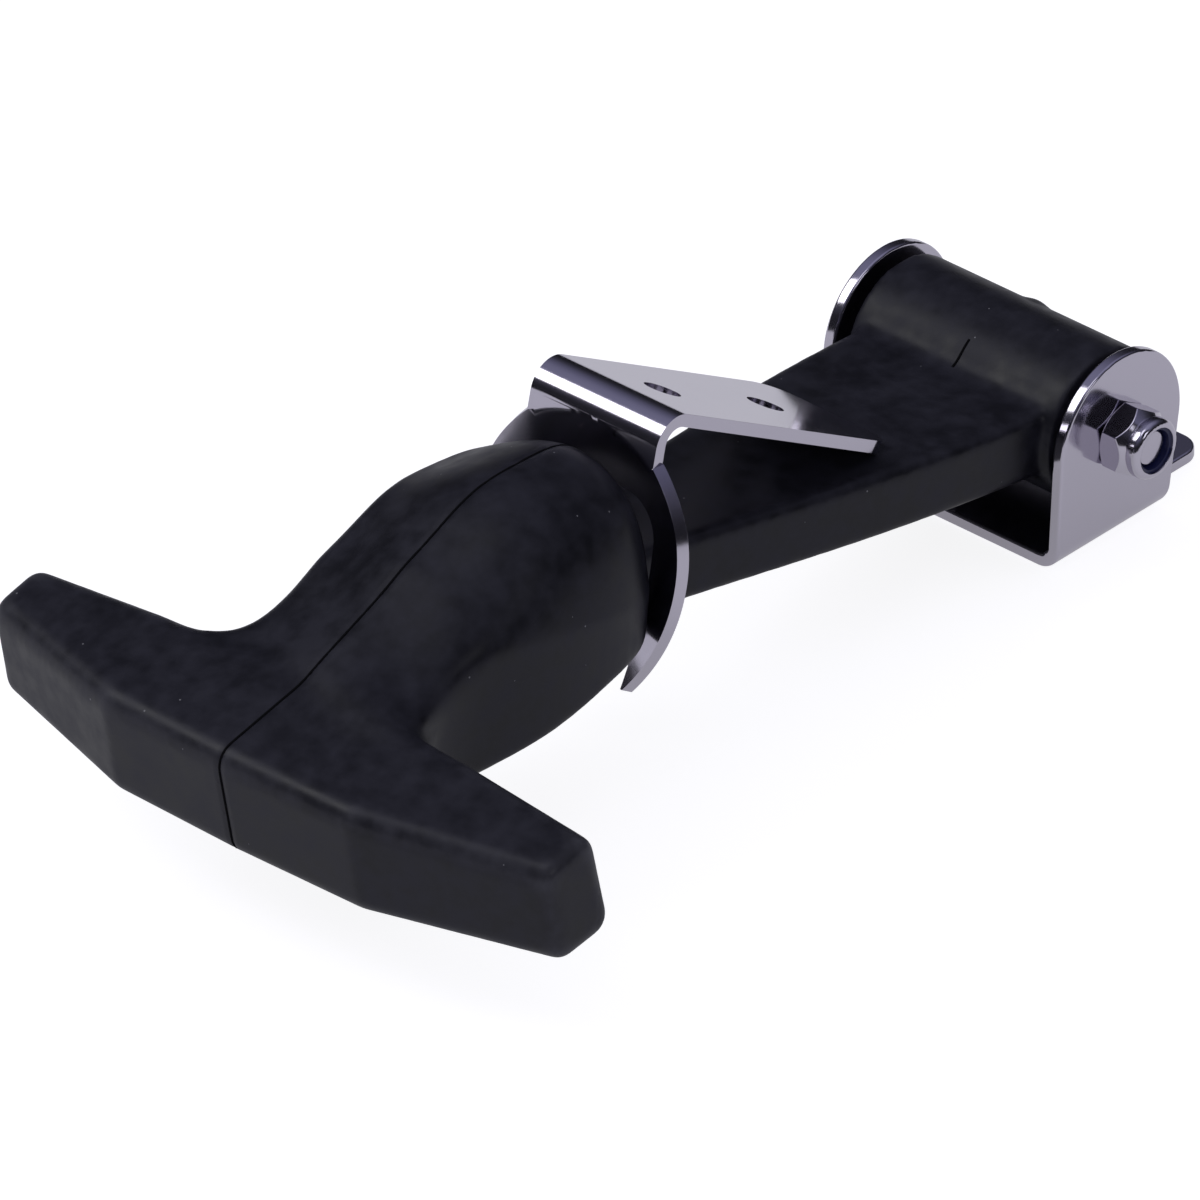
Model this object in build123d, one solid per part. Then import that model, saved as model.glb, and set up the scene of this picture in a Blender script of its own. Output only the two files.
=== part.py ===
# Rubber T draw latch: a moulded rubber T-handle strap on a pin, its U bracket
# and the forked keeper that the handle's bulb is pulled over.
# Millimetres. Origin on the bracket's mounting face below the pin,
# +X towards the T-handle, +Y towards the lock nut, +Z away from the mounting face.
import os
from math import atan2, cos, radians, sin, sqrt, tan
from build123d import *

os.makedirs("parts", exist_ok=True)

# ---- driving dimensions ----
SHEET = 1.6                 # stainless sheet of bracket and keeper
RUN_GAP = 0.05              # clearance of anything that turns or rests
SCREW_HOLE_D = 4.6          # screw holes of bracket and keeper

BRACKET_W = 37.8            # over the outer faces of the ears
BRACKET_BEND_R = 1.4        # inner radius of the ear bends
PIN_Z = 14.1                # bolt axis above the mounting face
EAR_R = 10.6                # round top of an ear
EAR_FRONT_X = 11.5          # front edge of the base
EAR_REAR_X = 8.4            # rear edge of an ear at the base, behind the pin
EAR_REAR_DROP = 8           # where the rear edge leaves the round top, degrees below the pin's level
TAB_END_X = 20.0            # end of the tab behind the pin
TAB_W = 29.0
TAB_CORNER_R = 3.0
TAB_HOLE_X = 14.6           # row of mounting holes behind the pin
TAB_HOLE_PITCH = 16.0

BOLT_D = 5.0
BOLT_HOLE_GAP = 0.15        # bolt to ear hole, on radius
BOLT_HEAD_AF = 8.0
BOLT_HEAD_H = 3.5
BOLT_HEAD_BEVEL = 0.45      # top corners of the head, on radius
BOLT_END_BEVEL = 0.4
NUT_AF = 8.0
NUT_HEX_H = 3.6
NUT_BEVEL = 0.5             # top corners of the hexagon, on radius
NUT_H = 5.6
NUT_COLLAR_D = 7.7
NUT_COLLAR_R = 0.8          # rounding of the collar's rim
NUT_MOUTH_D = 5.8           # opening of the collar over the nylon ring
INSERT_D = 6.6
INSERT_H = 1.5
INSERT_DEPTH = 0.35         # ring below the mouth of the collar
BOLT_END_DEPTH = 1.0        # bolt end below the mouth of the collar
SLEEVE_OD = 8.0
SLEEVE_GAP = 0.05           # bolt to sleeve, on radius

BULB_REAR_X = 74.6          # rear face of the bulb from the pin axis
STRAP_PITCH = 6.2           # rise of the strap towards the handle, degrees
BARREL_R = 9.8
BARREL_GAP = 1.3            # end of the barrel to the ear beside it
STRAP_T = 8.4
STRAP_STEP = 1.1            # the strap's edge stands in from the end of the barrel
# strap's taper: distance from the bulb's rear (minus: towards the pin), share of its width at the barrel
STRAP_TAPER = (
    (-BULB_REAR_X, 1.0), (-54.6, 0.953), (-40.6, 0.859), (-24.6, 0.705), (-8.6, 0.537), (11.4, 0.443))
STRAP_EDGE_R = 1.2
STRAP_ROOT_R = 3.0          # fillet of strap into barrel

BULB_FOOT_R = 1.2           # rounding along the bulb's lower edges
DOME_LEAN = 14              # the dome leaves the side walls at this angle, degrees
DOME_QUARTER = 0.76         # share of the half-width at which the fullness is set
# stations of bulb and neck: distance from the bulb's rear, half-width, crown, shoulder, underside,
# and the dome's fullness: share of its rise reached at DOME_QUARTER of the way out
BULB_STATIONS = (
    (0.0, 9.6, 13.4, 3.6, -1.4, 0.62),
    (1.4, 12.2, 16.2, 3.6, -3.0, 0.65),
    (4.8, 14.3, 18.5, 3.9, -3.8, 0.68),
    (9.8, 15.4, 18.8, 4.3, -4.8, 0.67),
    (16.8, 15.6, 18.2, 4.9, -7.0, 0.66),
    (23.8, 15.0, 15.6, 5.2, -8.9, 0.62),
    (30.8, 14.0, 11.8, 4.8, -10.2, 0.56),
    (36.8, 13.6, 8.2, 2.6, -11.0, 0.54),
    (40.8, 14.4, 6.1, 0.4, -11.4, 0.56),
    (43.4, 16.2, 4.7, -1.4, -11.6, 0.64),
    (45.2, 19.0, 3.7, -2.8, -11.8, 0.72),
    (47.2, 23.4, 2.4, -4.2, -11.9, 0.80),
    (50.8, 24.0, 0.6, -5.4, -12.0, 0.80),
)

GRIP_HALF_W = 43.6
GRIP_FACET_Y = 19.0         # where the front face breaks to sweep back
GRIP_EDGE_R = 2.5           # long edges
GRIP_END_R = 1.7            # rims of the end faces
# corners of the grip's section from the bulb's rear: rear top, front top, front foot, rear foot
GRIP_MID = ((44.2, 3.4), (61.6, -2.2), (57.2, -17.0), (42.4, -13.4))
GRIP_BREAK = ((44.8, 2.2), (60.6, -2.6), (56.4, -17.2), (42.0, -14.0))
GRIP_TIP = ((45.0, -0.4), (53.0, -3.2), (49.2, -16.4), (40.2, -14.0))

KEEPER_W = 19.7
KEEPER_PLATE_L = 46.6       # from the outer bend corner to the end
KEEPER_CORNER_R = 4.0
KEEPER_BEND_R = 2.1         # inner radius
KEEPER_SLOPE = 30.2         # plate below level, degrees
KEEPER_LEAN = 14.0          # fork off upright, degrees
KEEPER_HOLE_PITCH = 20.6
KEEPER_HOLE_IN = 12.4       # first hole from the outer bend corner
FORK_TOP = 7.4              # outer bend corner to the shoulders of the fork
# fork's outline: distance below its shoulders, half-width
FORK_OUTLINE = (
    (0.0, KEEPER_W / 2), (3.0, 12.3), (7.0, 14.4), (13.0, 15.2), (19.0, 14.4), (24.0, 12.6), (27.6, 10.6))
FORK_SLOT_W = 20.6
FORK_SLOT_TOP = 4.8         # below the shoulders
FORK_SLOT_CORNER_R = 5.0
DISH_CENTRE = 14.5          # below the shoulders
DISH_RIM_R = 17.4           # circle in which the hollow meets the flat of the fork
DISH_DEPTH = 3.2
SLIDE_STEPS = 3             # steps in which the keeper is slid up to the bulb


def save(shape, name):
    shape.label = name
    export_step(shape, f"parts/{name}.step")


def rod(radius, y0, y1):
    """Round bar along the pin axis."""
    plane = Plane(origin=(0, y0, PIN_Z), x_dir=(1, 0, 0), z_dir=(0, 1, 0))
    return extrude(plane * Circle(radius), y1 - y0)


def hexagon(across_flats, y0, y1):
    """Hexagon bar along the pin axis with a flat on top."""
    plane = Plane(origin=(0, y0, PIN_Z), x_dir=(1, 0, 0), z_dir=(0, 1, 0))
    return extrude(plane * RegularPolygon(across_flats / sqrt(3), 6, rotation=30), y1 - y0)


def at_strap(shape):
    """Carry a shape drawn from the pin axis along a level strap to the pitched strap."""
    return Pos(0, 0, PIN_Z) * Rot(0, -STRAP_PITCH, 0) * shape


# ---- mounting bracket: one pressed sheet, two ears up, a tab behind ----
half_w = BRACKET_W / 2
bend_out = BRACKET_BEND_R + SHEET
u_outer = Plane.YZ * Polyline(
    (-half_w, PIN_Z + EAR_R + 1), (-half_w, 0), (half_w, 0), (half_w, PIN_Z + EAR_R + 1), close=True)
u_inner = Plane.YZ * Polyline(
    (-half_w + SHEET, PIN_Z + EAR_R + 2), (-half_w + SHEET, SHEET), (half_w - SHEET, SHEET),
    (half_w - SHEET, PIN_Z + EAR_R + 2), close=True)
reach = 2 * TAB_END_X
trough = extrude(make_face(u_outer), reach, both=True)
trough = fillet(trough.edges().filter_by(Axis.X).group_by(Axis.Z)[0], bend_out)
hollow = extrude(make_face(u_inner), reach + 1, both=True)
hollow = fillet(hollow.edges().filter_by(Axis.X).group_by(Axis.Z)[0], BRACKET_BEND_R)
trough = trough - hollow


def ear_side(foot_x, sign):
    """Touching point on the ear's round top of the flank that starts at foot_x on the base."""
    dist = sqrt(foot_x ** 2 + PIN_Z ** 2)
    to_foot = atan2(-PIN_Z, sign * foot_x)
    turn = atan2(sqrt(dist ** 2 - EAR_R ** 2), EAR_R)
    angle = to_foot + sign * turn
    return (EAR_R * cos(angle), PIN_Z + EAR_R * sin(angle))


front_touch = ear_side(EAR_FRONT_X, 1)
drop = radians(EAR_REAR_DROP)
rear_touch = (-EAR_R * cos(drop), PIN_Z - EAR_R * sin(drop))
ear_outline = Plane.XZ * (
    Polyline((-EAR_REAR_X, 0), (EAR_FRONT_X, 0), front_touch)
    + ThreePointArc(front_touch, (0, PIN_Z + EAR_R), rear_touch)
    + Line(rear_touch, (-EAR_REAR_X, 0)))
ears = trough & extrude(make_face(ear_outline), BRACKET_W, both=True)
tab = Pos(-TAB_END_X / 2, 0, SHEET / 2) * Box(TAB_END_X, TAB_W, SHEET)
tab = fillet(tab.edges().filter_by(Axis.Z).group_by(Axis.X)[0], TAB_CORNER_R)
bracket = ears + tab
bracket -= rod(BOLT_D / 2 + BOLT_HOLE_GAP, -BRACKET_W, BRACKET_W)
for side in (-1, 1):
    bracket -= Pos(-TAB_HOLE_X, side * TAB_HOLE_PITCH / 2, 0) * Cylinder(SCREW_HOLE_D / 2, 4 * SHEET)
save(bracket, "mounting_bracket")

# ---- pivot bolt, spacer sleeve, lock nut and its nylon ring ----
nut_end = half_w + NUT_H
bolt_end = nut_end - BOLT_END_DEPTH
bolt = rod(BOLT_D / 2, -half_w, bolt_end)
bolt = chamfer(bolt.edges().group_by(Axis.Y)[-1], BOLT_END_BEVEL)
head = hexagon(BOLT_HEAD_AF, -half_w - BOLT_HEAD_H, -half_w)
head &= Pos(0, -half_w, PIN_Z) * Rot(90, 0, 0) * Cone(
    BOLT_HEAD_AF / sqrt(3) + BOLT_HEAD_H, BOLT_HEAD_AF / sqrt(3) - BOLT_HEAD_BEVEL, BOLT_HEAD_H,
    align=(Align.CENTER, Align.CENTER, Align.MIN))
bolt += head
save(bolt, "pivot_bolt")

sleeve_len = BRACKET_W - 2 * SHEET
sleeve = rod(SLEEVE_OD / 2, -sleeve_len / 2, sleeve_len / 2)
sleeve -= rod(BOLT_D / 2 + SLEEVE_GAP, -BRACKET_W, BRACKET_W)
save(sleeve, "pivot_sleeve")

nut = hexagon(NUT_AF, half_w, half_w + NUT_HEX_H)
nut &= Pos(0, half_w, PIN_Z) * Rot(-90, 0, 0) * Cone(
    NUT_AF / sqrt(3) + NUT_HEX_H, NUT_AF / sqrt(3) - NUT_BEVEL, NUT_HEX_H,
    align=(Align.CENTER, Align.CENTER, Align.MIN))
collar = rod(NUT_COLLAR_D / 2, half_w, nut_end)
collar = fillet(collar.edges().group_by(Axis.Y)[-1], NUT_COLLAR_R)
nut += collar
ring_y1 = nut_end - INSERT_DEPTH
ring_y0 = ring_y1 - INSERT_H
nut -= rod(BOLT_D / 2, 0, 2 * nut_end)
nut -= rod(INSERT_D / 2, ring_y0, ring_y1)
nut -= rod(NUT_MOUTH_D / 2, ring_y0, 2 * nut_end)
save(nut, "lock_nut")

insert = rod(INSERT_D / 2, ring_y0, ring_y1) - rod(BOLT_D / 2, 0, 2 * nut_end)
save(insert, "nut_insert")

# ---- rubber handle: barrel, strap, bulb, neck and T-grip in one moulding ----
barrel_half = BRACKET_W / 2 - SHEET - BARREL_GAP
taper = [(BULB_REAR_X + x, (barrel_half - STRAP_STEP) * share) for x, share in STRAP_TAPER]
mirrored = [(x, -half) for x, half in reversed(taper)]
strap_end = taper[-1][0]
side = Circle(BARREL_R) + Pos(strap_end / 2, 0) * Rectangle(strap_end, STRAP_T)
root_x = sqrt(BARREL_R ** 2 - (STRAP_T / 2) ** 2)
side = fillet(side.vertices().filter_by(lambda v: abs(v.X - root_x) < 0.01), STRAP_ROOT_R)
plan = make_face(
    Spline(*taper) + Line(taper[-1], mirrored[0]) + Spline(*mirrored) + Line(mirrored[-1], taper[0]))
strap = extrude(Plane.XZ * side, barrel_half, both=True) & extrude(plan, BARREL_R + 1, both=True)
long_edges = strap.edges().filter_by(GeomType.BSPLINE).filter_by(lambda e: e.length > strap_end / 2)
strap = fillet(long_edges, STRAP_EDGE_R)
barrel = extrude(Plane.XZ * Circle(BARREL_R), barrel_half, both=True)


def bulb_section(x, half, crown, shoulder, under, fullness):
    """D-shaped section: flat underside with rounded edges, upright walls, domed top."""
    plane = Plane(origin=(BULB_REAR_X + x, 0, 0), x_dir=(0, 1, 0), z_dir=(1, 0, 0))
    quarter = (half * DOME_QUARTER, shoulder + (crown - shoulder) * fullness)
    lean_in = tan(radians(DOME_LEAN))
    wire = Polyline((-half, shoulder), (-half, under), (half, under), (half, shoulder))
    dome = Spline(
        (half, shoulder), quarter, (0, crown), (-quarter[0], quarter[1]), (-half, shoulder),
        tangents=((-lean_in, 1), (-lean_in, -1)))
    face = make_face(wire + dome)
    face = fillet(face.vertices().filter_by(lambda v: abs(v.Y - under) < 0.01), BULB_FOOT_R)
    return plane * face


bulb = loft([bulb_section(*station) for station in BULB_STATIONS])


def grip_section(y, corners):
    """Four-cornered section of the grip with its corners rounded."""
    plane = Plane(origin=(BULB_REAR_X, y, 0), x_dir=(1, 0, 0), z_dir=(0, -1, 0))
    face = make_face(Polyline(*corners, close=True))
    return plane * fillet(face.vertices(), GRIP_EDGE_R)


grip = loft([
    grip_section(-GRIP_HALF_W, GRIP_TIP), grip_section(-GRIP_FACET_Y, GRIP_BREAK),
    grip_section(0, GRIP_MID), grip_section(GRIP_FACET_Y, GRIP_BREAK),
    grip_section(GRIP_HALF_W, GRIP_TIP)], ruled=True)
end_faces = grip.faces().sort_by(Axis.Y)
grip = fillet(end_faces[0].edges() + end_faces[-1].edges(), GRIP_END_R)
handle = barrel + strap + bulb + grip
handle -= extrude(Plane.XZ * Circle(SLEEVE_OD / 2 + RUN_GAP), BRACKET_W, both=True)
handle = at_strap(handle)
save(handle, "rubber_handle")

# ---- keeper: pressed fork, bend and screw plate in one sheet ----
# it lies on the strap on the end of its plate, with its prongs against the rear of the bulb
slope = radians(KEEPER_SLOPE)
lean = radians(KEEPER_LEAN)
pitch = radians(STRAP_PITCH)
plate_dir = Vector(-cos(slope), 0, -sin(slope))
plate_top = Vector(-sin(slope), 0, cos(slope))
fork_dir = Vector(sin(lean), 0, -cos(lean))
fork_front = Vector(cos(lean), 0, sin(lean))
plate_foot = plate_dir * KEEPER_PLATE_L - plate_top * SHEET
corner_x = BULB_REAR_X - (FORK_TOP + FORK_OUTLINE[-1][0]) * sin(lean)
foot_z = PIN_Z + (corner_x + plate_foot.X) * tan(pitch) + (STRAP_T / 2 + RUN_GAP) / cos(pitch)
corner = Vector(corner_x, 0, foot_z - plate_foot.Z)
bend_angle = radians(fork_dir.get_angle(plate_dir))
inner_corner = corner + plate_dir * (SHEET / tan(bend_angle / 2)) - plate_top * SHEET
stub = fork_dir * (FORK_TOP + FORK_SLOT_TOP / 2)
profile = make_face(Polyline(
    corner, corner + plate_dir * KEEPER_PLATE_L, corner + plate_foot, inner_corner,
    corner + stub - fork_front * SHEET, corner + stub, close=True))
bent = extrude(profile, KEEPER_W / 2, both=True, dir=(0, 1, 0))


def round_bend(shape, point, radius):
    """Round the edge along Y that passes nearest to a point."""
    edge = shape.edges().filter_by(Axis.Y).sort_by(lambda e: (e.center() - point).length)[0]
    return fillet(edge, radius)


bent = round_bend(bent, inner_corner, KEEPER_BEND_R)
bent = round_bend(bent, corner, KEEPER_BEND_R + SHEET)
end_edges = bent.edges().filter_by(lambda e: abs(e.tangent_at(0.5).dot(plate_top)) > 0.99)
end_edges = end_edges.sort_by(lambda e: -(e.center() - corner).dot(plate_dir))[:2]
bent = fillet(end_edges, KEEPER_CORNER_R)
plate_plane = Plane(origin=corner, x_dir=plate_dir, z_dir=plate_top)
for along in (KEEPER_HOLE_IN, KEEPER_HOLE_IN + KEEPER_HOLE_PITCH):
    bent -= plate_plane * Pos(along, 0, 0) * Cylinder(SCREW_HOLE_D / 2, 4 * SHEET)

fork_plane = Plane(origin=corner + fork_dir * FORK_TOP, x_dir=fork_dir, z_dir=fork_front)
dish_r = (DISH_RIM_R ** 2 + DISH_DEPTH ** 2) / (2 * DISH_DEPTH)
dish_c = fork_plane * Pos(DISH_CENTRE, 0, dish_r - DISH_DEPTH)


def fork_outline(height):
    """Fork's outline at a height over its flat, its edges pointing at the dish's centre."""
    grow = (dish_r - DISH_DEPTH - height) / (dish_r - DISH_DEPTH)
    points = [(DISH_CENTRE + (v - DISH_CENTRE) * grow, half * grow) for v, half in FORK_OUTLINE]
    other = [(v, -half) for v, half in reversed(points)]
    edge = Spline(*points) + Line(points[-1], other[0]) + Spline(*other) + Line(other[-1], points[0])
    return fork_plane * Pos(0, 0, height) * make_face(edge)


blank = loft([fork_outline(DISH_DEPTH), fork_outline(-2 * DISH_DEPTH)], ruled=True)
fork_len = FORK_OUTLINE[-1][0]
slot = Rectangle(2 * fork_len, FORK_SLOT_W)
slot = fillet(slot.vertices(), FORK_SLOT_CORNER_R)
slot = Pos(FORK_SLOT_TOP + fork_len, 0) * slot
blank -= fork_plane * extrude(slot, 4 * DISH_DEPTH, both=True)
blank &= dish_c * (Sphere(dish_r + SHEET) - Sphere(dish_r))
keeper = (bent - dish_c * Sphere(dish_r)) + blank

# slide it along the strap until the prongs meet the bulb
bulb_there = at_strap(bulb)
for _ in range(SLIDE_STEPS):
    slide = keeper.distance_to(bulb_there) - RUN_GAP
    keeper = Pos(slide * cos(pitch), 0, slide * sin(pitch)) * keeper
save(keeper, "keeper")
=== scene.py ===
# Rubber T draw latch: looks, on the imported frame. Metres, in the frame's own axes:
# +X from the bracket towards the T-grip, +Y towards the lock nut, +Z off the mounting face.
import bpy
import bmesh
from math import cos, radians, sin
from mathutils import Matrix, Vector
import numpy as np


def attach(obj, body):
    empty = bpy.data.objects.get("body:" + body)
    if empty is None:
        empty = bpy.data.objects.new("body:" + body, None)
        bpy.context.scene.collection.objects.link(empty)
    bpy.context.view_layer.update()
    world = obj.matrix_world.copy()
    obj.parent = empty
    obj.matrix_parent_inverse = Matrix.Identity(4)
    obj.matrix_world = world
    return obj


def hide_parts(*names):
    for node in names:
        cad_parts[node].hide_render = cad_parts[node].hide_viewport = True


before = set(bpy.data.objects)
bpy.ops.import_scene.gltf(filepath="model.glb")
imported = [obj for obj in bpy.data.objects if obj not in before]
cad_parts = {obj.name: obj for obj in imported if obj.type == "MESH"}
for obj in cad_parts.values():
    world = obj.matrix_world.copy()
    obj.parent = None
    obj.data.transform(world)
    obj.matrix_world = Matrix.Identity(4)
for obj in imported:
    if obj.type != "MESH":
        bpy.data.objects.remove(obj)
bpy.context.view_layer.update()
MM = 0.001

# ---- camera: a long lens looking down on the grip end from the nut's side ----
# It stands about three metres off, which is why the latch shows almost no perspective.
VIEW_ELEVATION = radians(32.58)
VIEW_TURN = radians(42.55)          # from +X towards +Y
VIEW_ROLL = radians(-0.486)
VIEW_DISTANCE = 2.953
VIEW_AIM = Vector((66.86, -3.22, 13.50)) * MM
LENS = 760.6                        # focal length and sensor width in millimetres
SENSOR = 36.0
back = Vector((
    cos(VIEW_ELEVATION) * cos(VIEW_TURN),
    cos(VIEW_ELEVATION) * sin(VIEW_TURN),
    sin(VIEW_ELEVATION)))
camera = bpy.data.objects.new("camera", bpy.data.cameras.new("camera"))
bpy.context.scene.collection.objects.link(camera)
camera.data.lens = LENS
camera.data.sensor_width = SENSOR
camera.data.clip_end = 20.0
level = (-back).to_track_quat("-Z", "Y").to_matrix()
turned = (level @ Matrix.Rotation(VIEW_ROLL, 3, "Z")).to_4x4()
camera.matrix_world = Matrix.Translation(VIEW_AIM + back * VIEW_DISTANCE) @ turned
bpy.context.scene.camera = camera
bpy.context.scene.view_settings.view_transform = "Standard"


def srgb(hex_colour):
    """Linear colour of an sRGB hex value."""
    parts = [int(hex_colour[i:i + 2], 16) / 255 for i in (1, 3, 5)]
    return [c / 12.92 if c <= 0.04045 else ((c + 0.055) / 1.055) ** 2.4 for c in parts] + [1.0]


def add(tree, kind, settings=None, **links):
    """Add a node: settings are its own properties, links its inputs' values or sockets."""
    node = tree.nodes.new(kind)
    for name, value in (settings or {}).items():
        setattr(node, name, value)
    for name, value in links.items():
        socket = node.inputs[int(name[1:])] if name[1:].isdigit() else node.inputs[name.replace("_", " ")]
        if isinstance(value, bpy.types.NodeSocket):
            tree.links.new(value, socket)
        else:
            socket.default_value = value
    return node


# ---- studio: white table paper, one high soft lamp, and a room that polished metal mirrors ----
# The paper keeps the latch's faint shadow. Metal shows a dim wall that brightens upwards,
# two white cards and an unlit patch of the room; behind the latch all is plain white.
FLOOR_HALF = 6.0
FLOOR_DROP = 0.2 * MM               # just under the bracket's mounting face
SEEN_FLOOR = 0.86                   # part of the floor's white that no shadow takes away
MIRRORED_FLOOR = 0.37               # the same in metal, which mostly mirrors paper in the latch's shade
PAPER_COLOUR = "#A8A7B2"            # of the part that takes the latch's shadow


def seen_floor(tree):
    """Strength of the floor's own white for rays that show it: straight, through glass, in metal."""
    path = add(tree, "ShaderNodeLightPath")
    clear = add(tree, "ShaderNodeMath", {"operation": "MAXIMUM"},
                _0=path.outputs["Is Camera Ray"], _1=path.outputs["Is Transmission Ray"])
    straight = add(tree, "ShaderNodeMath", {"operation": "MULTIPLY"}, _0=clear.outputs[0], _1=SEEN_FLOOR)
    mirrored = add(tree, "ShaderNodeMath", {"operation": "MULTIPLY"},
                   _0=path.outputs["Is Glossy Ray"], _1=MIRRORED_FLOOR)
    strength = add(tree, "ShaderNodeMath", {"operation": "ADD"},
                   _0=straight.outputs[0], _1=mirrored.outputs[0])
    return strength.outputs[0]


floor_mesh = bpy.data.meshes.new("floor")
floor_corners = [(x * FLOOR_HALF, y * FLOOR_HALF, 0) for x, y in ((-1, -1), (1, -1), (1, 1), (-1, 1))]
floor_mesh.from_pydata(floor_corners, [], [(0, 1, 2, 3)])
floor = bpy.data.objects.new("floor", floor_mesh)
floor.location.z = -FLOOR_DROP
bpy.context.scene.collection.objects.link(floor)
paper = bpy.data.materials.new("white_paper")
paper.use_nodes = True
tree = paper.node_tree
tree.nodes.clear()
matt = add(tree, "ShaderNodeBsdfDiffuse", Color=srgb(PAPER_COLOUR))
glow = add(tree, "ShaderNodeEmission", Color=srgb("#FFFFFF"), Strength=seen_floor(tree))
both = add(tree, "ShaderNodeAddShader", _0=matt.outputs[0], _1=glow.outputs[0])
add(tree, "ShaderNodeOutputMaterial", Surface=both.outputs[0])
floor_mesh.materials.append(paper)

WALL_FOOT = "#1E1E22"
WALL_TONES = ((0.30, "#24242A"), (0.50, "#3E3E4A"), (0.70, "#66667C"), (0.82, "#808098"))
CEILING = "#9C9CB4"
UNLIT_COLOUR = "#121216"
CARD_COLOUR = "#F4F4FF"
CARD_STRENGTH = 1.6
PLAIN_COLOUR = "#F6F6FF"            # soft light from all round, for everything but reflections
PLAIN_STRENGTH = 0.5
PATCHES = {                         # direction, and the cosines at its edge and where it is full
    "unlit": ((0.16, 0.60, 0.78), 0.93, 0.97),      # what the nut's upper flank shows by way of the ear
    "overhead_card": ((0.25, -0.10, 0.96), 0.965, 0.985),   # the bright line along every rounded rim
    "side_card": ((0.04, 0.83, 0.56), 0.975, 0.99)}         # beyond the nut: chamfers and rim ends

world = bpy.data.worlds.new("studio")
bpy.context.scene.world = world
world.use_nodes = True
tree = world.node_tree
tree.nodes.clear()
direction = add(tree, "ShaderNodeTexCoord")
height = add(tree, "ShaderNodeSeparateXYZ", Vector=direction.outputs["Generated"])
walls = add(tree, "ShaderNodeValToRGB", Fac=height.outputs["Z"])
stops = walls.color_ramp.elements
stops[0].position = 0.0
stops[0].color = srgb(WALL_FOOT)
stops[1].position = 1.0
stops[1].color = srgb(CEILING)
for place, colour in WALL_TONES:
    stop = stops.new(place)
    stop.color = srgb(colour)
walls_lit = add(tree, "ShaderNodeBackground", Color=walls.outputs["Color"], Strength=1.0)
unlit = add(tree, "ShaderNodeBackground", Color=srgb(UNLIT_COLOUR), Strength=1.0)
card = add(tree, "ShaderNodeBackground", Color=srgb(CARD_COLOUR), Strength=CARD_STRENGTH)
toward = {}
for name, (centre, edge, heart) in PATCHES.items():
    dot = add(tree, "ShaderNodeVectorMath", {"operation": "DOT_PRODUCT"},
              _0=direction.outputs["Generated"], _1=Vector(centre).normalized())
    toward[name] = add(tree, "ShaderNodeMapRange", {"interpolation_type": "SMOOTHSTEP"},
                       Value=dot.outputs["Value"], From_Min=edge, From_Max=heart).outputs["Result"]
dimmed = add(tree, "ShaderNodeMixShader", _0=toward["unlit"], _1=walls_lit.outputs[0], _2=unlit.outputs[0])
cards = add(tree, "ShaderNodeMath", {"operation": "MAXIMUM"},
            _0=toward["overhead_card"], _1=toward["side_card"])
reflected = add(tree, "ShaderNodeMixShader", _0=cards.outputs[0], _1=dimmed.outputs[0], _2=card.outputs[0])
plain = add(tree, "ShaderNodeBackground", Color=srgb(PLAIN_COLOUR), Strength=PLAIN_STRENGTH)
path = add(tree, "ShaderNodeLightPath")
shown = add(tree, "ShaderNodeMixShader",
            _0=path.outputs["Is Glossy Ray"], _1=plain.outputs[0], _2=reflected.outputs[0])
white = add(tree, "ShaderNodeBackground", Color=srgb("#FFFFFF"), Strength=1.0)
final = add(tree, "ShaderNodeMixShader",
            _0=path.outputs["Is Camera Ray"], _1=shown.outputs[0], _2=white.outputs[0])
add(tree, "ShaderNodeOutputWorld", Surface=final.outputs[0])

LAMP_PLACE = Vector((0.60, -0.74, 0.90))
LAMP_AIM = Vector((0.06, 0.0, 0.0))
LAMP_SIZE = 0.5
LAMP_POWER = 3.0
lamp = bpy.data.objects.new("high_soft_light", bpy.data.lights.new("high_soft_light", "AREA"))
lamp.data.shape = "SQUARE"
lamp.data.size = LAMP_SIZE
lamp.data.energy = LAMP_POWER
lamp.location = LAMP_PLACE
lamp.rotation_mode = "QUATERNION"
lamp.rotation_quaternion = (LAMP_AIM - LAMP_PLACE).to_track_quat("-Z", "Y")
bpy.context.scene.collection.objects.link(lamp)

# ---- rubber handle: barrel, strap, bulb, neck and T-grip in one compression moulding ----
# Carbon-filled rubber from a two-part mould: satin skin with a cloudy bloom, every edge
# softened, and a fine flash line round the mid-plane where the mould halves met.
SKIN_VOXEL = 0.42 * MM
SMOOTHING = 0.5                     # of the way to its neighbours that each corner moves in one round
MOULD_RADIUS_ROUNDS = 8             # rounds that soften every edge
JOIN = 0.002 * MM                   # corners nearer than this are one
STRAP_PITCH = radians(6.2)
PIN = Vector((0.0, 0.0, 14.1)) * MM
# Where the neck runs out into the T's top, in millimetres along and across the strap.
NECK_FROM = 106
NECK_TO = 126
NECK_HALF_W = 24
NECK_DEPTH = 5                      # below the line from the pin along the strap
NECK_FADE = 4                       # from the stretch's edge to where it is smoothed in full
NECK_ROUNDS = 60


def merged_copy(node_name, new_name):
    """Copy of a CAD node's mesh with its loose triangles joined."""
    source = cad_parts[node_name]
    piece = bpy.data.objects.new(new_name, source.data.copy())
    bpy.context.scene.collection.objects.link(piece)
    mesh = bmesh.new()
    mesh.from_mesh(piece.data)
    bmesh.ops.remove_doubles(mesh, verts=mesh.verts, dist=JOIN)
    mesh.to_mesh(piece.data)
    mesh.free()
    piece.data.materials.clear()
    return piece


def bake_modifiers(piece):
    """Turn the piece with its modifiers into a plain mesh."""
    bpy.context.view_layer.update()
    evaluated = piece.evaluated_get(bpy.context.evaluated_depsgraph_get())
    finished = bpy.data.meshes.new_from_object(evaluated)
    piece.modifiers.clear()
    piece.data = finished


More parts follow.
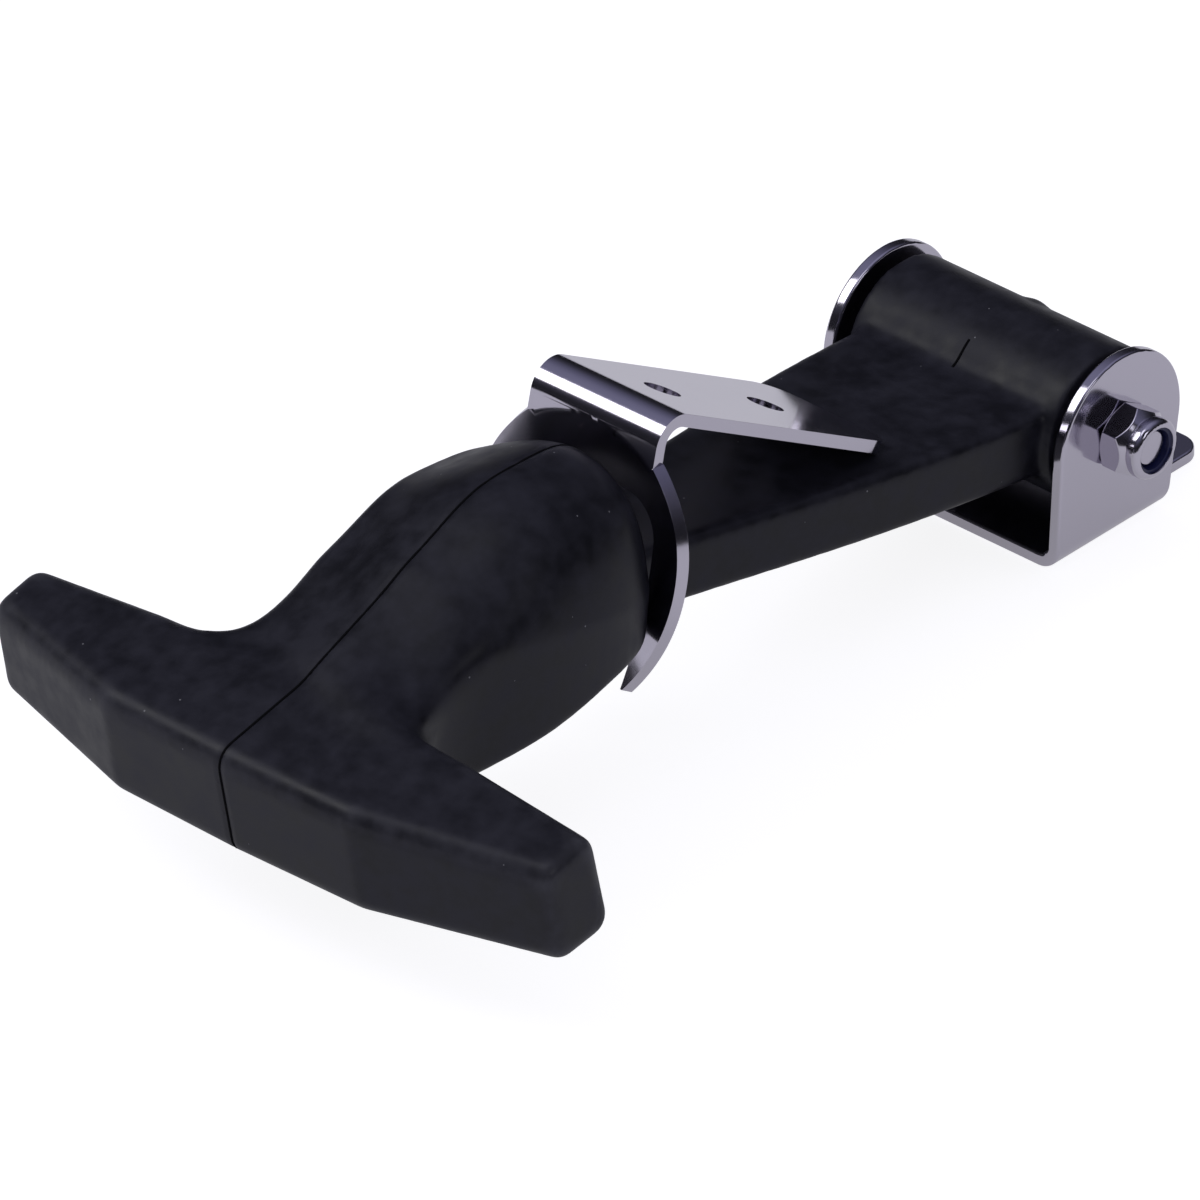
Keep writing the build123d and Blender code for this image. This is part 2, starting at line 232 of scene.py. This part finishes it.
handle = merged_copy("rubber_handle", "moulded_handle")
remesh = handle.modifiers.new("even_skin", "REMESH")
remesh.mode = "VOXEL"
remesh.voxel_size = SKIN_VOXEL
remesh.use_smooth_shade = True
soften = handle.modifiers.new("mould_radius", "SMOOTH")
soften.factor = SMOOTHING
soften.iterations = MOULD_RADIUS_ROUNDS
bake_modifiers(handle)


def along_strap(point):
    """Place measured from the pin along the pitched strap, in millimetres."""
    return (Matrix.Rotation(STRAP_PITCH, 3, "Y") @ (Vector(point) - PIN)) / MM


blend = handle.vertex_groups.new(name="neck_blend")
for vertex in handle.data.vertices:
    x, y, z = along_strap(vertex.co)
    inside = min(x - NECK_FROM, NECK_TO - x, NECK_HALF_W - abs(y), z + NECK_DEPTH)
    if inside > 0:
        blend.add([vertex.index], min(inside / NECK_FADE, 1.0), "REPLACE")
run_out = handle.modifiers.new("neck_run_out", "SMOOTH")
run_out.vertex_group = blend.name
run_out.factor = SMOOTHING
run_out.iterations = NECK_ROUNDS
bake_modifiers(handle)

PARTING_FROM = 75.5                 # along the strap: the parting groove starts under the bulb's rear
GROOVE_HALF_W = 0.45                # millimetres, as along_strap gives them
GROOVE_DEPTH = 0.22 * MM
LUMPS = (                           # flash left standing: place, radius, height
    (PIN + Vector((-6.4, 0, 7.4)) * MM, 2.2 * MM, 0.35 * MM),
    (PIN + Matrix.Rotation(-STRAP_PITCH, 3, "Y") @ Vector((132.4, 0, -16.4)) * MM, 1.2 * MM, 0.5 * MM))
SKIN_INSET = 0.003 * MM             # keeps the softened skin inside the solid
skin_normals = [vertex.normal.copy() for vertex in handle.data.vertices]
for vertex, outward in zip(handle.data.vertices, skin_normals):
    x, y, _ = along_strap(vertex.co)
    vertex.co -= outward * SKIN_INSET
    if abs(y) < GROOVE_HALF_W and x > PARTING_FROM:
        vertex.co -= outward * GROOVE_DEPTH * (1 - abs(y) / GROOVE_HALF_W)
    for heart, radius, height in LUMPS:
        far = (vertex.co - heart).length / radius
        if far < 1:
            vertex.co += outward * height * (1 - far ** 2) ** 2
for face in handle.data.polygons:
    face.use_smooth = True


def standing_out(mesh, rounds):
    """How far each vertex stands out from its softened surroundings, in metres."""
    count = len(mesh.vertices)
    places, normals = np.empty(count * 3), np.empty(count * 3)
    mesh.vertices.foreach_get("co", places)
    mesh.vertices.foreach_get("normal", normals)
    places, normals = places.reshape(-1, 3), normals.reshape(-1, 3)
    ends = np.empty(len(mesh.edges) * 2, dtype=np.int32)
    mesh.edges.foreach_get("vertices", ends)
    ends = np.concatenate([ends.reshape(-1, 2), ends.reshape(-1, 2)[:, ::-1]])
    neighbours = np.bincount(ends[:, 0], minlength=count)
    soft = places
    for _ in range(rounds):
        soft = np.stack([np.bincount(ends[:, 0], weights=soft[ends[:, 1], axis], minlength=count)
                         for axis in range(3)], axis=1) / neighbours[:, None]
    return ((places - soft) * normals).sum(axis=1)


# The T's convex edges are painted lighter: partly scuffs, partly a painted highlight along its rounded
# edges.
WEAR_AND_HIGHLIGHT_FROM = 118                     # along the strap: only the T is handled enough to get scuffs, and only it carries the painted edge highlight
WEAR_AND_HIGHLIGHT_ROUNDS = 30
NO_WEAR_OR_HIGHLIGHT = 0.18 * MM                 # how far a corner stands out where scuffing and painted highlight start and where they are full
FULL_WEAR_AND_HIGHLIGHT = 0.55 * MM
wear_and_highlight_attribute = handle.data.attributes.new("edge_wear_and_highlight", "FLOAT", "POINT")
share = np.clip((standing_out(handle.data, WEAR_AND_HIGHLIGHT_ROUNDS) - NO_WEAR_OR_HIGHLIGHT) / (FULL_WEAR_AND_HIGHLIGHT - NO_WEAR_OR_HIGHLIGHT), 0, 1)
on_grip = np.array([along_strap(vertex.co).x > WEAR_AND_HIGHLIGHT_FROM for vertex in handle.data.vertices])
wear_and_highlight_attribute.data.foreach_set("value", share * on_grip)

CLEAN_RUBBER = "#16161D"
BLOOMED_RUBBER = "#272731"
# lighter edge colour: scuffs and painted highlight together
SCUFF_AND_HIGHLIGHT_RUBBER = "#4A4A52"
DUST_COLOUR = "#77777D"
BLOOM_PATCH = 8 * MM                # cloudy patches of bloom
BLOOM_MOTTLE = 2.5 * MM             # finer mottling inside them
DUST_SPACING = 3 * MM
DUST_SIZE = 0.12 * MM               # radius; real dust is finer and is drawn as coarse as it needs to show
DUST_NONE = 0.3                     # share of the places that hold no speck
GRAIN = 0.25 * MM                   # grain of the mould's wall; the real one is finer

rubber = bpy.data.materials.new("moulded_black_rubber")
rubber.use_nodes = True
tree = rubber.node_tree
tree.nodes.clear()
place = add(tree, "ShaderNodeTexCoord")
patches = add(tree, "ShaderNodeTexNoise", Vector=place.outputs["Object"],
              Scale=1 / BLOOM_PATCH, Detail=3.0, Roughness=0.5)
mottle = add(tree, "ShaderNodeTexNoise", Vector=place.outputs["Object"],
             Scale=1 / BLOOM_MOTTLE, Detail=2.0, Roughness=0.5)
both = add(tree, "ShaderNodeMath", {"operation": "ADD"}, _0=patches.outputs["Fac"], _1=mottle.outputs["Fac"])
bloom = add(tree, "ShaderNodeMapRange", Value=both.outputs[0], From_Min=0.75, From_Max=1.25)
bloom_gloss = add(tree, "ShaderNodeMapRange", Value=bloom.outputs["Result"], To_Min=0.36, To_Max=0.50)
bloomed = add(tree, "ShaderNodeMixRGB",
              Fac=bloom.outputs["Result"], Color1=srgb(CLEAN_RUBBER), Color2=srgb(BLOOMED_RUBBER))
# Convex edges on the T mix in the lighter colour: scuffs plus painted highlight.
edge_wear_and_highlight = add(tree, "ShaderNodeAttribute", {"attribute_name": "edge_wear_and_highlight"})
patchy_scuff_and_highlight = add(tree, "ShaderNodeMapRange", Value=bloom.outputs["Result"], To_Min=0.45, To_Max=1.0)
scuff_and_highlight = add(tree, "ShaderNodeMath", {"operation": "MULTIPLY"},
              _0=edge_wear_and_highlight.outputs["Fac"], _1=patchy_scuff_and_highlight.outputs["Result"])
skin_colour = add(tree, "ShaderNodeMixRGB",
                  Fac=scuff_and_highlight.outputs[0], Color1=bloomed.outputs["Color"], Color2=srgb(SCUFF_AND_HIGHLIGHT_RUBBER))
dust = add(tree, "ShaderNodeTexVoronoi", Vector=place.outputs["Object"], Scale=1 / DUST_SPACING)
near = add(tree, "ShaderNodeMath", {"operation": "LESS_THAN"},
           _0=dust.outputs["Distance"], _1=DUST_SIZE / DUST_SPACING)
lot = add(tree, "ShaderNodeSeparateXYZ", Vector=dust.outputs["Color"])
chosen = add(tree, "ShaderNodeMath", {"operation": "GREATER_THAN"}, _0=lot.outputs["X"], _1=DUST_NONE)
speck = add(tree, "ShaderNodeMath", {"operation": "MULTIPLY"}, _0=near.outputs[0], _1=chosen.outputs[0])
dusty = add(tree, "ShaderNodeMixRGB",
            Fac=speck.outputs[0], Color1=skin_colour.outputs["Color"], Color2=srgb(DUST_COLOUR))
grain = add(tree, "ShaderNodeTexNoise", Vector=place.outputs["Object"], Scale=1 / GRAIN, Detail=2.0)
grain_bump = add(tree, "ShaderNodeBump", Height=grain.outputs["Fac"], Strength=0.12, Distance=0.02 * MM)
shader = add(tree, "ShaderNodeBsdfPrincipled", Base_Color=dusty.outputs["Color"],
             Roughness=bloom_gloss.outputs["Result"], Normal=grain_bump.outputs["Normal"])
shader.inputs["Specular IOR Level"].default_value = 0.27
add(tree, "ShaderNodeOutputMaterial", Surface=shader.outputs[0])
handle.data.materials.append(rubber)
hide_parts("rubber_handle")
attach(handle, "strap")

# ---- flash line: what is left of the thin web of rubber squeezed out between the mould halves ----
# It runs round the bulb, neck and T on the mid-plane, ripped off rough in a shallow groove, its near-black
# colour painted shade;
# barrel and strap are trimmed clean but for a nick where the strap leaves the barrel.
NICK_FROM = 6.6                     # along the strap's upper side
NICK_TO = 9.4
FLASH_HALF_W = 0.2 * MM
FLASH_STEP = 0.6 * MM
FLASH_SUNK = 0.07 * MM              # how deep the bead's middle lies in the skin
FLASH_SIDES = 8
# The bead is real flash; its near-black colour is painted shade of the groove and the fin's foot, darker
# than the rubber's own tone.
FLASH_PAINTED_SHADE = "#0B0B0E"

outline = bpy.data.meshes.new("flash_path")
section = bmesh.new()
section.from_mesh(handle.data)
cut = bmesh.ops.bisect_plane(
    section, geom=section.verts[:] + section.edges[:] + section.faces[:],
    plane_co=(0, 0, 0), plane_no=(0, 1, 0))
rim = []
for edge in cut["geom_cut"]:
    if isinstance(edge, bmesh.types.BMEdge):
        x, _, z = along_strap((edge.verts[0].co + edge.verts[1].co) / 2)
        if x > PARTING_FROM or (NICK_FROM < x < NICK_TO and z > 0):
            rim.append(edge)
corners = {}
for edge in rim:
    for vertex in edge.verts:
        corners.setdefault(vertex, len(corners))
path_points = [v.co - v.normal * FLASH_SUNK for v in corners]
outline.from_pydata(path_points, [[corners[v] for v in e.verts] for e in rim], [])
section.free()

flash_shade_material = bpy.data.materials.new("flash_bead_painted_shade")
flash_shade_material.use_nodes = True
flash_shade_inputs = flash_shade_material.node_tree.nodes["Principled BSDF"].inputs
flash_shade_inputs["Base Color"].default_value = srgb(FLASH_PAINTED_SHADE)
flash_shade_inputs["Roughness"].default_value = 0.9
flash_shade_inputs["Specular IOR Level"].default_value = 0.1

tree = bpy.data.node_groups.new("bead_along_path", "GeometryNodeTree")
tree.interface.new_socket("Path", in_out="INPUT", socket_type="NodeSocketGeometry")
tree.interface.new_socket("Half width", in_out="INPUT", socket_type="NodeSocketFloat")
tree.interface.new_socket("Step", in_out="INPUT", socket_type="NodeSocketFloat")
tree.interface.new_socket("Bead", in_out="OUTPUT", socket_type="NodeSocketGeometry")
given = add(tree, "NodeGroupInput")
path = add(tree, "GeometryNodeMeshToCurve", Mesh=given.outputs["Path"])
even = add(tree, "GeometryNodeResampleCurve", {"mode": "LENGTH"},
           Curve=path.outputs["Curve"], Length=given.outputs["Step"])
profile = add(tree, "GeometryNodeCurvePrimitiveCircle",
              Resolution=FLASH_SIDES, Radius=given.outputs["Half width"])
bead = add(tree, "GeometryNodeCurveToMesh",
           Curve=even.outputs["Curve"], Profile_Curve=profile.outputs["Curve"])
whole = add(tree, "GeometryNodeRealizeInstances", Geometry=bead.outputs["Mesh"])
coated = add(tree, "GeometryNodeSetMaterial", Geometry=whole.outputs["Geometry"], Material=flash_shade_material)
add(tree, "NodeGroupOutput", Bead=coated.outputs["Geometry"])

flash = bpy.data.objects.new("flash_line", outline)
bpy.context.scene.collection.objects.link(flash)
maker = flash.modifiers.new("bead", "NODES")
maker.node_group = tree
bead_sizes = {"Half width": FLASH_HALF_W, "Step": FLASH_STEP}
for socket in tree.interface.items_tree:
    if socket.name in bead_sizes:
        maker[socket.identifier] = bead_sizes[socket.name]
bake_modifiers(flash)
for face in flash.data.polygons:
    face.use_smooth = True
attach(flash, "strap")

# ---- mounting bracket: one blanked, bent and tumbled stainless sheet ----
# The rims are rounded over by tumbling and show as a bright line beside a dark one;
# the flats keep the mill's mirror finish, slightly clouded.
STAINLESS = "#C6C2CE"
CLOUD = 6.25 * MM                   # faint clouding of the mill's finish
BRACKET_RIM = 0.35 * MM
COPLANAR = radians(0.4)             # triangles that turn by less belong to one flat
SHARP_EDGE = radians(35)


def keep_flats_flat(mesh):
    """Weigh each corner's normal by the square of the flats that meet there, so only rims look round.

    Faces of one flat share their direction and their distance from the frame's origin.
    """
    flats = {}
    keys = []
    for face in mesh.polygons:
        key = tuple(round(c, 3) for c in face.normal) + (round(face.normal.dot(face.center) / MM, 1),)
        keys.append(key)
        flats[key] = flats.get(key, 0.0) + face.area / MM ** 2
    normals = [Vector() for _ in mesh.vertices]
    for face, key in zip(mesh.polygons, keys):
        for corner in face.vertices:
            normals[corner] += face.normal * flats[key] ** 2
    mesh.normals_split_custom_set_from_vertices([normal.normalized() for normal in normals])


def rounded_rims(piece, width, steps=3, clamp=True):
    """Round sharp edges, clamped to what the shortest one allows or not, and keep the flats flat."""
    mesh = bmesh.new()
    mesh.from_mesh(piece.data)
    bmesh.ops.dissolve_limit(mesh, angle_limit=COPLANAR, verts=mesh.verts, edges=mesh.edges)
    mesh.to_mesh(piece.data)
    mesh.free()
    bevel = piece.modifiers.new("rounded_rims", "BEVEL")
    bevel.width = width
    bevel.segments = steps
    bevel.limit_method = "ANGLE"
    bevel.angle_limit = SHARP_EDGE
    bevel.use_clamp_overlap = clamp
    piece.modifiers.new("triangles", "TRIANGULATE")
    bake_modifiers(piece)
    for face in piece.data.polygons:
        face.use_smooth = True
    keep_flats_flat(piece.data)


steel = bpy.data.materials.new("polished_stainless")
steel.use_nodes = True
tree = steel.node_tree
tree.nodes.clear()
place = add(tree, "ShaderNodeTexCoord")
cloud = add(tree, "ShaderNodeTexNoise", Vector=place.outputs["Object"], Scale=1 / CLOUD, Detail=2.0)
cloud_gloss = add(tree, "ShaderNodeMapRange", Value=cloud.outputs["Fac"], To_Min=0.10, To_Max=0.17)
shader = add(tree, "ShaderNodeBsdfPrincipled", Base_Color=srgb(STAINLESS), Metallic=1.0,
             Roughness=cloud_gloss.outputs["Result"])
add(tree, "ShaderNodeOutputMaterial", Surface=shader.outputs[0])

bracket = merged_copy("mounting_bracket", "pressed_bracket")
rounded_rims(bracket, BRACKET_RIM, clamp=False)
bracket.data.materials.append(steel)
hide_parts("mounting_bracket")
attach(bracket, "bracket")

# ---- keeper: screw plate, bend and dished fork pressed from one stainless sheet ----
# Same polished sheet as the bracket; the fork is dished so that the bulb seats in it.
KEEPER_RIM = 0.28 * MM              # at most: the crowded corners of the fork leave room for less
keeper = merged_copy("keeper", "pressed_keeper")
rounded_rims(keeper, KEEPER_RIM)
keeper.data.materials.append(steel)
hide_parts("keeper")
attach(keeper, "strap")

# ---- pivot bolt, lock nut and sleeve: bright stainless, cold headed and turned ----
# The bolt runs through both ears and the sleeve in the rubber barrel; the nut sits on the
# ear at +Y, its collar rolled in over the nylon ring.
TURNED_RIM = 0.12 * MM
TURNED_RIM_STEPS = 2
# The nut in millimetres from its seat on the ear. A slope is rise for each millimetre of radius.
NUT_SIDES = 72
NUT_FLAT = 4.0                      # half across the flats
NUT_HEX_H = 3.6
NUT_SEAT_R = 3.9                    # chamfer at the ear
NUT_SEAT_SLOPE = 0.6
NUT_SHOULDER_R = 3.6                # chamfer at the collar
NUT_SHOULDER_SLOPE = 1.1
NUT_WAIST_R = 3.55                  # groove between hexagon and collar, in heights over the hexagon
NUT_WAIST_FROM = 0.1
NUT_WAIST_TO = 0.25
NUT_COLLAR_FROM = 0.4
NUT_COLLAR_R = 3.85
NUT_COLLAR_RIM = 0.8                # radius of the rolled rim
RIM_ARC_STEP = 15                   # degrees
NUT_TOP = 5.6
NUT_MOUTH_R = 2.9                   # recess that holds the nylon ring
NUT_MOUTH_FLOOR = 3.75
NUT_BORE_R = 2.5


def nut_outline(turn):
    """Radius and height of the nut's stations at one angle, from the bore at the ear round to the bore."""
    flank = NUT_FLAT / cos(radians(turn % 60 - 30))
    rim_angles = [radians(angle) for angle in range(0, 91, RIM_ARC_STEP)]
    rolled_rim = [(NUT_COLLAR_R - NUT_COLLAR_RIM + NUT_COLLAR_RIM * cos(angle),
                   NUT_TOP - NUT_COLLAR_RIM + NUT_COLLAR_RIM * sin(angle)) for angle in rim_angles]
    return [
        (NUT_BORE_R, 0),
        (NUT_SEAT_R, 0),
        (flank, (flank - NUT_SEAT_R) * NUT_SEAT_SLOPE),
        (flank, NUT_HEX_H - (flank - NUT_SHOULDER_R) * NUT_SHOULDER_SLOPE),
        (NUT_SHOULDER_R, NUT_HEX_H),
        (NUT_WAIST_R, NUT_HEX_H + NUT_WAIST_FROM),
        (NUT_WAIST_R, NUT_HEX_H + NUT_WAIST_TO),
        (NUT_COLLAR_R, NUT_HEX_H + NUT_COLLAR_FROM),
        *rolled_rim,
        (NUT_MOUTH_R, NUT_TOP),
        (NUT_MOUTH_R, NUT_MOUTH_FLOOR),
        (NUT_BORE_R, NUT_MOUTH_FLOOR)]


seat = max(v.co.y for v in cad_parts["mounting_bracket"].data.vertices)
points, faces = [], []
for side in range(NUT_SIDES):
    turn = 360 / NUT_SIDES * side
    stations = nut_outline(turn)
    across, up = sin(radians(turn)), cos(radians(turn))
    for radius, rise in stations:
        points.append((radius * across * MM, seat + rise * MM, PIN.z + radius * up * MM))
    this = side * len(stations)
    following = (side + 1) % NUT_SIDES * len(stations)
    for station in range(len(stations)):
        after = (station + 1) % len(stations)
        faces.append((this + station, following + station, following + after, this + after))
nut_mesh = bpy.data.meshes.new("collar_nut")
nut_mesh.from_pydata(points, [], faces)
nut = bpy.data.objects.new("collar_nut", nut_mesh)
bpy.context.scene.collection.objects.link(nut)

bright = steel.copy()
bright.name = "bright_stainless"
turned_pieces = {
    "pivot_bolt": merged_copy("pivot_bolt", "hex_bolt"),
    "lock_nut": nut,
    "pivot_sleeve": merged_copy("pivot_sleeve", "spacer_tube")}
for node_name, piece in turned_pieces.items():
    rounded_rims(piece, TURNED_RIM, TURNED_RIM_STEPS)
    piece.data.materials.append(bright)
    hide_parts(node_name)
    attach(piece, "bracket")

# ---- nylon ring: dyed nylon, pressed into the nut's mouth ----
# The collar is rolled in over it, and its tight bore keeps the nut from shaking loose.
NYLON_BLUE = "#151B4A"
nylon = bpy.data.materials.new("dyed_nylon")
nylon.use_nodes = True
nylon_inputs = nylon.node_tree.nodes["Principled BSDF"].inputs
nylon_inputs["Base Color"].default_value = srgb(NYLON_BLUE)
nylon_inputs["Roughness"].default_value = 0.4
ring = merged_copy("nut_insert", "nylon_ring")
rounded_rims(ring, TURNED_RIM, TURNED_RIM_STEPS)
ring.data.materials.append(nylon)
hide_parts("nut_insert")
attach(ring, "bracket")

bpy.context.view_layer.update()
